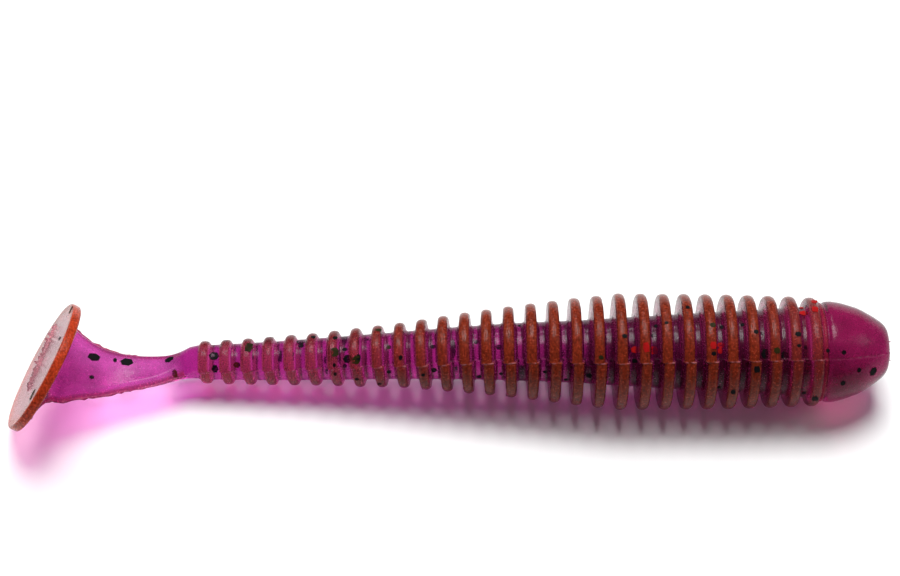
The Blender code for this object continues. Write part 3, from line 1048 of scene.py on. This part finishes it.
head_plastic = plastisol(
    "head plastisol",
    thin=srgb(160, 30, 96),
    thick=srgb(148, 24, 80),
    stops=BODY_STOPS,
    flank=srgb(150, 34, 50),
    crest=BROWN,
    clear=0.8,
    shaded=0.4,
    tints=(BODY_TINT, THICK_TINT),
    tint_stops=(2.0, 7.6),
)
rib_plastic = plastisol(
    "rib plastisol",
    thin=VIOLET,
    thick=MAROON,
    stops=BODY_STOPS,
    flank=PINK,
    crest=BROWN,
    clear=0.87,
    shaded=0.75,
    tints=(BODY_TINT, THICK_TINT),
    tint_stops=(4.2, 7.6),
)
tail_plastic = plastisol(
    "tail plastisol",
    thin=LIGHT_VIOLET,
    thick=VIOLET,
    stops=TAIL_STOPS,
    flank=PINK,
    crest=srgb(150, 38, 70),
    clear=0.87,
    shaded=0.0,
    tints=(TAIL_TINT, BODY_TINT),
    tint_stops=TAIL_STOPS,
)
disc_plastic = plastisol(
    "disc plastisol",
    thin=srgb(208, 154, 162),
    thick=VIOLET,
    stops=BODY_STOPS,
    flank=srgb(195, 100, 80),
    crest=srgb(176, 58, 28),
    clear=0.7,
    shaded=0.0,
    tints=(TAIL_TINT, TAIL_TINT),
    tint_stops=BODY_STOPS,
)
black_film = flake_film("black film", srgb(10, 10, 12), srgb(40, 36, 8), srgb(80, 20, 18))
red_film = flake_film("red film", DARK_RED, DARK_RED, DARK_RED)

head_skin(head_plastic)
nose_nibs(head_plastic)
for k in range(1, RIB_COUNT):
    valley_skin(k, rib_plastic)
neck_skin(rib_plastic)
neck_to_stem = np.linspace(NECK_SPLIT, STEM_SPLIT, 12)
tail_skin("stem_front_skin", neck_to_stem, tail_plastic)
stem_to_web = np.linspace(STEM_SPLIT, WEB_SPLIT, 12)
tail_skin("stem_rear_skin", stem_to_web, tail_plastic)
web_skin(tail_plastic)
disc_skin(disc_plastic)
disc_flash(disc_plastic)
chance = random.Random(11)
add_flakes("black_flakes", [*BLACK_FLAKES, *hidden_flakes(chance)], black_film, chance)
add_flakes("red_flakes", RED_FLAKES, red_film, chance)
add_tail_flakes(black_film, chance)


# Strength of the plain white world as a light, and as the backdrop that the camera sees
WORLD_LIGHT = 0.1
WORLD_SEEN = 0.8

LAMP_DISTANCE = 0.5
TABLE_REACH = 1.5


def white_world():
    world = bpy.data.worlds.new("studio world")
    bpy.context.scene.world = world
    world.use_nodes = True
    tree = world.node_tree
    path = tree.nodes.new("ShaderNodeLightPath")
    strength = tree.nodes.new("ShaderNodeMapRange")
    strength.inputs["To Min"].default_value = WORLD_LIGHT
    strength.inputs["To Max"].default_value = WORLD_SEEN
    tree.links.new(path.outputs["Is Camera Ray"], strength.inputs["Value"])
    tree.links.new(strength.outputs["Result"], tree.nodes["Background"].inputs["Strength"])
    tree.nodes["Background"].inputs["Color"].default_value = (1, 1, 1, 1)


def lamp(name, direction, size, power):
    """Round area light that looks at the middle of the bait from the given direction."""
    data = bpy.data.lights.new(name, "AREA")
    data.shape = "DISK"
    data.size = size
    data.energy = power
    obj = add_object(name, data)
    away = Vector(direction).normalized()
    obj.location = away * LAMP_DISTANCE
    obj.rotation_euler = away.to_track_quat("Z", "Y").to_euler()


def white_table():
    floor = bpy.data.meshes.new("floor")
    half = TABLE_REACH
    corners = [(-half, -half, 0), (half, -half, 0), (half, half, 0), (-half, half, 0)]
    floor.from_pydata(corners, [], [(0, 1, 2, 3)])
    nodes = Nodes("white table")
    nodes.set(Base_Color=(0.93, 0.93, 0.93), Roughness=0.6)
    floor.materials.append(nodes.material)
    add_object("floor", floor)


def photo_camera():
    """Camera at the photo's angle, above the bait and on its near side."""
    data = bpy.data.cameras.new("camera")
    data.lens = 88.815
    data.sensor_width = 36
    data.clip_start = 0.001
    camera = add_object("camera", data)
    camera.location = (-0.0012758, -0.0898552, 0.1749913)
    camera.rotation_euler = [math.radians(a) for a in (29.856, -0.405, -0.193)]
    bpy.context.scene.camera = camera


bpy.context.scene.view_settings.view_transform = "Standard"
white_world()
lamp("key light", (-0.05, 0.85, 0.66), 0.066, 0.36)
lamp("overhead light", (0.0, 0.38, 1.0), 0.28, 3.15)
lamp("side light", (0.8, 0.1, 0.55), 0.16, 0.2)
white_table()
photo_camera()
